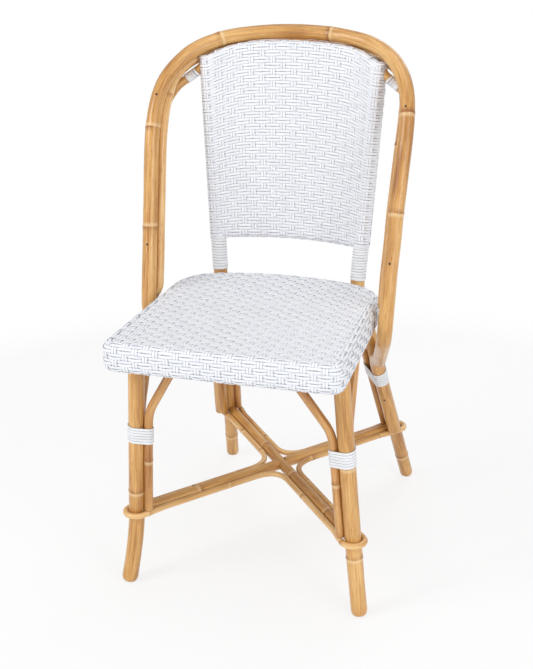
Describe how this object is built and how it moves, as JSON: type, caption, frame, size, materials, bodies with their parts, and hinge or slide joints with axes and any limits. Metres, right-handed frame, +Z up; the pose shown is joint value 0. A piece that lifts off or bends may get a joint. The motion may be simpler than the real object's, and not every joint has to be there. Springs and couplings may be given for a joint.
{
  "type": "rattan bistro chair",
  "caption": "Bent rattan bistro chair with a woven seat and back, a hoop that runs over the back down to the rear legs, and crossed stretcher poles.",
  "frame": {"origin": "middle of the bounding box on the floor, under the seat's centre line", "axes": "+Z up, +Y towards the back of the chair, +X to the right of someone who faces the chair's front"},
  "size_m": [0.4398, 0.572, 0.8597],
  "materials": {
    "rattan": "clear lacquered rattan pole",
    "rattan_pale": "clear lacquered thin rattan pole",
    "rattan_deep": "clear lacquered rattan pole, darker",
    "white_weave": "white woven plastic strip, semi-gloss",
    "nail": "dull dark nail head"
  },
  "bodies": {
    "root": {"front_leg_left": "rattan", "rear_leg_left": "rattan", "front_leg_right": "rattan", "rear_leg_right": "rattan", "outer_hoop": "rattan", "inner_hoop": "rattan_pale", "back_top_rail": "rattan", "back_bottom_rail": "rattan", "stretcher_arm_long": "rattan", "stretcher_arm_front_left": "rattan", "stretcher_arm_rear_right": "rattan", "stretcher_loop_front": "rattan_pale", "stretcher_loop_rear": "rattan_pale", "stretcher_loop_left": "rattan_pale", "stretcher_loop_right": "rattan_pale", "front_leg_inner_brace_left": "rattan_deep", "front_leg_inner_brace_right": "rattan_deep", "front_leg_side_brace_left": "rattan_deep", "front_leg_side_brace_right": "rattan_deep", "rear_leg_inner_brace_left": "rattan_deep", "rear_leg_inner_brace_right": "rattan_deep", "seat_frame_upper": "rattan_deep", "seat_frame_lower": "rattan_deep", "seat_cross_rail_front": "rattan_deep", "seat_cross_rail_rear": "rattan_deep", "seat_weave": "white_weave", "back_weave": "white_weave", "front_leg_binding_left": "white_weave", "rear_leg_binding_left": "white_weave", "upright_wrap_left": "white_weave", "top_rail_wrap_left": "white_weave", "front_leg_binding_right": "white_weave", "rear_leg_binding_right": "white_weave", "upright_wrap_right": "white_weave", "top_rail_wrap_right": "white_weave", "hoop_nail_1_left": "nail", "hoop_nail_1_right": "nail", "hoop_nail_2_left": "nail", "hoop_nail_2_right": "nail", "hoop_nail_3_left": "nail", "hoop_nail_3_right": "nail"}
  },
  "joints": []
}
